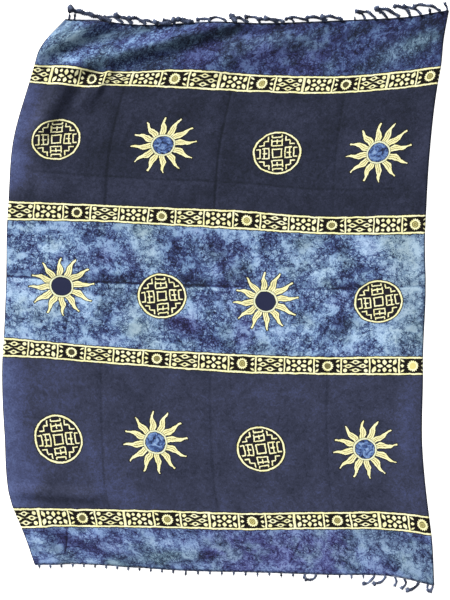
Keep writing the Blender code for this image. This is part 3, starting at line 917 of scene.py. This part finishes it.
# Two of the teal strokes give the painted shade of the top left fold troughs its greenish grey.
teal_dye_and_shade_tint = node("Math ADD", teal_dye_and_shade_tint, strokes(flat, TEAL_DYE_AND_SHADE_TINT_STROKES), use_clamp=True)
purple = node("MapRange", hue, 0.52, 0.66, 0.0, 0.4)
purple = node("Math MULTIPLY_ADD", in_last_panel, 0.3, purple)
purple = node("Math ADD", purple, strokes(flat, PURPLE_STROKES), use_clamp=True)
pale_dye_and_painted_shading = node("Mix RGBA", purple, blue_dye, purple_dye)
pale_dye_and_painted_shading = node("Mix RGBA", teal_dye_and_shade_tint, pale_dye_and_painted_shading, teal_dye)
depth = swung(swung(swung(DEPTH, mottle, 0.5), cloud, 0.6), speck, 0.8)
depth = node("Math MULTIPLY_ADD", second_dark, SECOND_LIFT, depth)
# The dark strokes add painted light to the left of the dark panels and painted shade and highlights along the
# packing creases, besides other lighter strokes.
depth = node("Math ADD", depth, strokes(flat, DARK_DYE_AND_PAINTED_SHADING_STROKES))
dark_dye_and_painted_shading = node("ValToRGB", depth, stops=(
    (0.0, "#1B1F2A"), (0.25, "#272B3C"), (0.5, "#35394E"), (0.75, "#41486B"), (1.0, "#525D86"),
))
# This mix carries the painted light and shade of the strokes along with the dye.
dye_and_painted_shading = node("Mix RGBA", in_dark_panel, pale_dye_and_painted_shading, dark_dye_and_painted_shading)
# The selvedges and the top end are darker. The bar runs on past the foot, which shows no dark edge.
half_cloth = (CLOTH_WIDTH / 2, CLOTH_LENGTH / 2 + 20)
dye_and_painted_shading = paint("#1A1B28", dye_and_painted_shading, bar(flat, half_cloth, half_cloth), 1.2, -2.2)
print("dye:", len(network.nodes), "nodes")

# %% Printed rayon: wax
# The hand-held stamps leave an edge that swells over a few centimetres and is ragged over a few millimetres.
SWELL, RAG = 26, 5
across_cloth = node("SeparateXYZ", flat, output=0)
step_ends = (DROP_STEP + STEP_BLEND, DROP_STEP - STEP_BLEND)
before_step = node("MapRange SMOOTHSTEP", across_cloth, *step_ends, 0.0, 1.0)
drop = node("Math MULTIPLY", strokes(flat, DROPS), before_step)
pulled = node("VectorMath ADD", flat, node("CombineXYZ", strokes(flat, PULLS), drop, 0.0))
below_middle = node("Math SUBTRACT", down_cloth, BORDERS[3].along)
below_middle = node("Clamp", below_middle, Min=-LEAN_REACH, Max=LEAN_REACH)
lean = node("Math MULTIPLY", below_middle, node("MapRange", across_cloth, LEAN_FULL, CLOTH_WIDTH, LEAN, 0.0))
lean = node("Math MULTIPLY", lean, in_foot_border)
pulled = node("VectorMath ADD", pulled, node("CombineXYZ", lean, 0.0, 0.0))
stamped = shaken(shaken(pulled, flat, SWELL, 1.0, 5.0), flat, RAG, 1.0, 2.4)
border_shape, band, disc_size, disc_fill = border(stamped)
from_disc, sun_shape, down_ray, beside_ray = sun(from_nearest(stamped, SUNS))
coin_shape, coin_rim = coin(from_nearest(stamped, COINS))
wax = joined(border_shape, sun_shape, coin_shape)
colour = paint(dye_and_painted_shading, "#171310", band)
colour = paint(colour, "#1F1D26", coin_rim)
colour = paint(colour, "#141113", wax, 0.8, 2.4)
disc_inside = node("Mix RGBA", disc_fill, "#14121A", "#DDD388")
rings = node("Math COSINE", node("Math MULTIPLY_ADD", disc_size, 1.35, 2.6))
rings = node("MapRange", rings, 0.0, 0.8, 0.0, 0.9)
part_fill = node("Math COMPARE", disc_fill, 0.55, 0.33)
rings = node("Math MULTIPLY", rings, part_fill)
disc_inside = node("Mix RGBA", rings, disc_inside, "#4A4529")
colour = paint(colour, disc_inside, disc_size, 0.6, DISC_HOLLOW)
yellow = node("MapRange", mottle, 0.35, 0.65, 0.0, 1.0)
yellow = node("Mix RGBA", yellow, "#EDE8A6", "#FBF9D0")
colour = paint(colour, yellow, wax, 0.8)
print("dye and wax:", len(network.nodes), "nodes")

# %% Printed rayon: insides of the suns
BLOT = 18
in_ray = node("Math MAXIMUM", sun_shape, node("Math MULTIPLY_ADD", down_ray, 9.0, -9.3))
colour = paint(colour, "#EDE7AE", node("Math ADD", in_ray, 2.6), 0.8)
hatch = node("Math MULTIPLY_ADD", beside_ray, 1.2, node("Math MULTIPLY", mottle, 9.0))
hatch = node("Math SINE", hatch)
hatch = node("MapRange", hatch, 0.1, 0.9, 3.0, -3.0)
hatch = node("Math MAXIMUM", hatch, node("Math ADD", in_ray, 3.4))
colour = paint(colour, "#6B6636", hatch, 0.9, 0.0, 0.85)
colour = paint(colour, "#DDE2C2", line_round(node("Math SUBTRACT", from_disc, 2.4), 1.9))
colour = paint(colour, "#6F6C45", line_round(node("Math SUBTRACT", from_disc, 5.1), 0.6))
colour = paint(colour, "#15141D", from_disc, 0.6, 0.3)
blot = node("TexNoise", speck_place, Scale=1 / BLOT, Detail=3.0, Roughness=0.7, Distortion=1.5)
blot = node("ValToRGB", blot, stops=(
    (0.36, "#1E2438"), (0.47, "#3C5082"), (0.55, "#5F7CAE"), (0.68, "#8FA9CB"),
))
sun_blue = node("Mix RGBA", in_middle_panel, blot, "#262A44")
colour = paint(colour, sun_blue, from_disc, 0.7, -1.3)
print("dye, wax and suns:", len(network.nodes), "nodes")

# %% Printed rayon: weave and finish
# The spacing of the threads as drawn and the size of the crepe-like unevenness, in mm.
THREAD = 1.0
CREPE = 45
threads = node("VectorMath MULTIPLY", flat, (2 * math.pi / THREAD,) * 3)
threads = node("VectorMath SINE", threads)
weft, warp = node("SeparateXYZ", threads).node.outputs[:2]
weave = node("Math MULTIPLY", weft, warp)
crepe = node("TexNoise", flat, Scale=1 / CREPE, Detail=3.0, Roughness=0.55)
height = node("Math MULTIPLY_ADD", crepe, 2.2, node("Math MULTIPLY", weave, 0.06))
relief_normal = node("Bump", Strength=0.5, Distance=0.001, Height=height)
shader = node(
    "BsdfPrincipled", colour, Roughness=0.85, Specular_IOR_Level=0.1, Sheen_Weight=0.03, Sheen_Roughness=0.45,
    Normal=relief_normal,
)
node("OutputMaterial", shader)
print("printed rayon:", len(network.nodes), "nodes")

# %% Cloth piece
cloth = make_object("sarong_cloth", surface.reshape(-1, 3), grid_faces(*surface.shape[:2]), rayon)
flat_place = np.broadcast_arrays(across[None, :] * CLOTH_WIDTH * MM, along[:, None] * MM)
flat_place = np.stack(flat_place, axis=-1).reshape(-1, 2).astype(np.float32)
corner_points = np.zeros(len(cloth.data.loops), dtype=np.int32)
cloth.data.loops.foreach_get("vertex_index", corner_points)
cloth.data.uv_layers.new(name="cloth").data.foreach_set("uv", flat_place[corner_points].ravel())
shell = cloth.modifiers.new("cloth thickness", "SOLIDIFY")
shell.thickness = SHELL * MM
shell.offset = 0
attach(cloth, "root")
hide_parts("panel")
print("cloth", len(cloth.data.polygons), "quads a side")

# %% [markdown]
# ## Twisted fringe
# The warp threads are left long at both ends, and bunches of them are twisted in pairs into strands, knotted
# and cut. Each strand is two plies laid round each other. A two-lobed outline is carried along the strand's
# path and turned as it goes, it swells at the knot, and a tuft of loose threads ends it. The runs of like
# strands are the ones that the solid fringe is made from.

# %% Runs of strands
# Places are shares of the cloth's width, lengths and radii are in mm, and leans are degrees to the left of
# straight out. A run of several strands also says how many they are and where the last one stands.
StrandRun = namedtuple(
    "StrandRun", "name first length first_lean last_lean radius strands last", defaults=(1, 0.0)
)
TOP_RUNS = (
    StrandRun("corner stubs", 0.012, 15, -6, -2, 2.5, 2, 0.026),
    StrandRun("corner bundle", 0.122, 128, 74, 84, 4.4),
    StrandRun("first hook", 0.152, 62, 42, 118, 2.8),
    StrandRun("second", 0.177, 54, 44, 94, 3.4),
    StrandRun("third", 0.2115, 52, 38, 104, 3.4),
    StrandRun("fourth", 0.245, 56, 56, 100, 2.8),
    StrandRun("lying flat left", 0.279, 50, 78, 88, 3.2),
    StrandRun("short crook", 0.288, 37, 42, 108, 2.4),
    StrandRun("lying thick", 0.325, 46, 62, 96, 3.6, 2, 0.336),
    StrandRun("low peak", 0.379, 42, 40, 128, 2.8),
    StrandRun("narrow arch", 0.421, 52, 40, 122, 2.4),
    StrandRun("big knot", 0.444, 24, 10, 60, 5.0),
    StrandRun("beside the knot", 0.478, 50, 52, 90, 3.2),
    StrandRun("steep arch", 0.508, 52, 18, 128, 2.8),
    StrandRun("lying middle", 0.556, 56, 62, 94, 3.0, 2, 0.573),
    StrandRun("short rise", 0.597, 20, 30, 60, 2.6),
    StrandRun("long arch", 0.635, 72, 52, 112, 2.6),
    StrandRun("flat pair", 0.683, 60, 60, 98, 3.2, 2, 0.724),
    StrandRun("short nub", 0.755, 8, 0, 0, 2.5),
    StrandRun("tied short", 0.7815, 26, 16, 62, 2.6),
    StrandRun("tied long", 0.809, 62, 30, 112, 3.0),
    StrandRun("joined short", 0.840, 32, 34, 62, 3.0),
    StrandRun("joined long", 0.871, 76, 40, 92, 3.6),
    StrandRun("straight then left", 0.898, 60, 2, 108, 3.2),
    StrandRun("long lean", 0.928, 60, 30, 84, 2.7),
    StrandRun("return loop", 0.951, 12, 0, 0, 3.4),
    StrandRun("longest lean", 0.978, 80, 40, 100, 3.0),
    StrandRun("corner hook", 0.995, 23, -18, 48, 2.4),
)
BOTTOM_RUNS = (
    StrandRun("turned under left", 0.012, 8, 0, 0, 2.5, 13, 0.347),
    StrandRun("longer nub", 0.3786, 12, 0, 10, 2.5),
    StrandRun("turned under middle", 0.409, 8, 0, 0, 2.5, 9, 0.6465),
    StrandRun("short hooked", 0.676, 13, 5, 30, 3.0),
    StrandRun("long hooked", 0.704, 40, 12, 128, 2.6),
    StrandRun("turned under right", 0.733, 8, 0, 0, 2.5, 4, 0.822),
    StrandRun("swept", 0.850, 44, 22, 86, 2.7, 2, 0.878),
    StrandRun("short hook", 0.900, 28, -58, 50, 2.4),
    StrandRun("hook", 0.923, 37, -72, 95, 2.4),
    StrandRun("long hook", 0.960, 46, 0, 96, 3.0),
    StrandRun("corner loop", 0.984, 20, 14, -50, 2.8),
    StrandRun("corner return", 0.996, 20, -6, 40, 3.0),
)
SEAM_GAP = 0.3
BAND_WIDTH = 3.5
STRAND_CLEARANCE = 0.9
END_COLUMNS = 36
counts = [sum(run.strands for run in runs) for runs in (TOP_RUNS, BOTTOM_RUNS)]
print("strands at the top and at the foot:", counts)

# %% Strands and bands
STRAND_SIDES = 10
TWIST_PITCH = 9.0
KNOT_LENGTH = 5.0
TUFT_THREADS = 7
TUFT_LENGTH = 6.0
WANDER = 1.2
BAND_INSET = 1.5
BAND_HEIGHT = 1.2


def between(at, known, rows):
    """Rows of values at the places asked for, on straight lines between the known ones."""
    return np.stack([np.interp(at, known, column) for column in rows.T], axis=-1)


def cloth_end(along, outwards):
    """One end of the cloth from left to right, with the level direction that leads out of it: the line's own
    direction, turned a quarter."""
    line = lay(np.linspace(0, 1, END_COLUMNS + 1), np.array([float(along)]))[0]
    run = np.gradient(line[:, :2], axis=0)
    run /= np.linalg.norm(run, axis=1)[:, None]
    return line, np.stack((-run[:, 1], run[:, 0]), axis=1) * outwards


def strand_path(root, out, run, length, steps):
    """A strand's middle line: its heading turns evenly from the first lean to the last, and it sinks from the
    height of the cloth's edge to the floor."""
    share = np.linspace(0, 1, steps + 1)
    middle = (share[1:] + share[:-1]) / 2
    lean = np.radians(run.first_lean + (run.last_lean - run.first_lean) * middle)
    leftwards = np.array((-out[1], out[0])) * math.copysign(1, out[1])
    heading = np.outer(np.cos(lean), out) + np.outer(np.sin(lean), leftwards)
    start = root[:2] + out * (SEAM_GAP + BAND_WIDTH / 2)
    plan = start + np.concatenate(([(0, 0)], np.cumsum(heading, axis=0))) * length / steps
    return np.column_stack((plan, STRAND_CLEARANCE + run.radius + root[2] * (1 - ease(share))))


def tube(path, radius, turn, lobes, sides):
    """Rings round a path, with its ends closed: each point lies at the radius, made larger or smaller by the
    cosine of twice its angle less the turn, so two lobes wind along the path."""
    heading = np.gradient(path, axis=0)
    heading /= np.linalg.norm(heading, axis=1)[:, None]
    level = np.cross(heading, (0, 0, 1))
    level /= np.linalg.norm(level, axis=1)[:, None]
    upright = np.cross(level, heading)
    angle = np.linspace(0, 2 * math.pi, sides, endpoint=False)
    size = radius[:, None] * (1 + lobes * np.cos(2 * (angle[None, :] - turn[:, None])))
    points = (
        path[:, None, :]
        + (size * np.cos(angle))[..., None] * level[:, None, :]
        + (size * np.sin(angle))[..., None] * upright[:, None, :]
    ).reshape(-1, 3)
    rings = len(path)
    ring = np.arange(sides)
    base = (np.arange(rings - 1)[:, None] * sides + ring).ravel()
    turned_base = (np.arange(rings - 1)[:, None] * sides + (ring + 1) % sides).ravel()
    faces = np.stack((base, turned_base, turned_base + sides, base + sides), axis=1).tolist()
    faces.append(ring[::-1].tolist())
    faces.append((ring + (rings - 1) * sides).tolist())
    return points, faces


class Pile:
    """Meshes gathered into one: the points of each and its faces, counted on from those before."""

    def __init__(self):
        self.points, self.faces, self.count = [], [], 0

    def add(self, points, faces):
        self.points.append(points)
        self.faces += [[corner + self.count for corner in face] for face in faces]
        self.count += len(points)


def add_strand(pile, root, out, run, dice):
    """A twisted strand with its knot and tuft, a little different from its neighbours."""
    length = run.length * dice.uniform(0.93, 1.04)
    steps = max(6, round(length / 1.5))
    path = strand_path(root, out, run, length, steps)
    reach = np.linspace(0, length, steps + 1)
    wander = WANDER * np.sin(reach / dice.uniform(4, 8) + dice.uniform(0, 6)) * ease(reach / 12)
    path[:, 1] += wander * ease(reach / 10)
    body = run.radius * (1.3 + 0.4 * ease(length / 45))
    knot_at = length - 3.5
    knot = np.exp(-(((reach - knot_at) / (KNOT_LENGTH / 2)) ** 2))
    uneven = 0.1 * np.sin(reach / dice.uniform(3, 6) + dice.uniform(0, 6))
    thinner = 1 - 0.45 * ease((reach - knot_at) / 4)
    radius = body * (0.82 + uneven + 0.6 * knot * ease(length / 30)) * thinner
    path[:, 2] = np.maximum(path[:, 2], radius * 1.16 + 0.2)
    pile.add(*tube(path, radius, reach * 2 * math.pi / TWIST_PITCH, 0.24, STRAND_SIDES))
    tip = path[-1]
    ahead = path[-1] - path[-2]
    ahead /= np.linalg.norm(ahead)
    for _ in range(TUFT_THREADS):
        direction = ahead + np.array((-ahead[1], ahead[0], 0)) * dice.uniform(-0.8, 0.8)
        thread_length = TUFT_LENGTH * dice.uniform(0.5, 1.0)
        t = np.linspace(0, 1, 4)
        thread = tip + np.outer(t, direction) * thread_length * 0.9
        thread[:, 2] = np.maximum(tip[2] + dice.uniform(-0.6, 0.6) - 1.4 * t, 0.5)
        pile.add(*tube(thread, np.linspace(0.42, 0.16, 4), np.zeros(4), 0.0, 4))


def add_band(pile, line, out, size):
    """The last picks of the weave, a narrow band that the strands leave from: a flat oval along the end."""
    reach = np.append(0, np.cumsum(np.linalg.norm(np.diff(line[:, :2], axis=0), axis=1)))
    fine = np.linspace(BAND_INSET, reach[-1] - BAND_INSET, 300)
    middle = between(fine, reach, line)
    middle[:, :2] += between(fine, reach, out) * (SEAM_GAP + BAND_WIDTH / 2 - 0.9)
    middle[:, 2] += BAND_HEIGHT
    pile.add(*tube(middle, size + 0.12 * np.sin(fine * 1.3), np.zeros(len(fine)), 0.25, 8))


def make_fringe(name, along, outwards, runs, band_size, seed):
    """All strands of one end, with their band, as one mesh."""
    dice = np.random.default_rng(seed)
    pile = Pile()
    line, out = cloth_end(along, outwards)
    columns = np.linspace(0, 1, END_COLUMNS + 1)
    add_band(pile, line, out, band_size)
    for run in runs:
        for share in np.linspace(run.first, run.last, run.strands):
            direction = between(share, columns, out)
            direction /= np.linalg.norm(direction)
            add_strand(pile, between(share, columns, line), direction, run, dice)
    piece = make_object(name, np.concatenate(pile.points), pile.faces, yarn)
    print(name, len(piece.data.polygons), "faces")
    return piece


# %% [markdown]
# ## Twisted rayon yarn
# The fringe is the cloth's own yarn, dyed with it: navy, paler where the dye wore off the outer fibres.
# Spun rayon is matt and a little hairy, so the shader is rough, with a fine bump of fibres and some sheen.

# %% Twisted rayon yarn
yarn, network = start_material("twisted rayon yarn")
place = node("VectorMath MULTIPLY", node("TexCoord", output="Object"), (1000, 1000, 1000))
fibre = node("TexNoise", place, Scale=1 / 1.4, Detail=3.0, Roughness=0.6)
shade = node("TexNoise", place, Scale=1 / 22, Detail=2.0)
mixed = swung(swung(0.5, shade, 0.6), fibre, 0.4)
yarn_colour = node("ValToRGB", mixed, stops=(
    (0.34, "#1C1F29"), (0.47, "#31374A"), (0.58, "#515C77"), (0.68, "#8690A4"),
))
yarn_normal = node("Bump", Strength=0.6, Distance=0.0004, Height=fibre)
shader = node(
    "BsdfPrincipled", yarn_colour, Roughness=0.9, Specular_IOR_Level=0.15, Sheen_Weight=0.1,
    Normal=yarn_normal,
)
node("OutputMaterial", shader)

# %% Fringe pieces
top = make_fringe("sarong_fringe_top", 0, 1, TOP_RUNS, 1.35, 11)
foot = make_fringe("sarong_fringe_foot", CLOTH_LENGTH, -1, BOTTOM_RUNS, 0.85, 12)
for piece, solid in ((top, "fringe_top"), (foot, "fringe_bottom")):
    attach(piece, "root")
    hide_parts(solid)
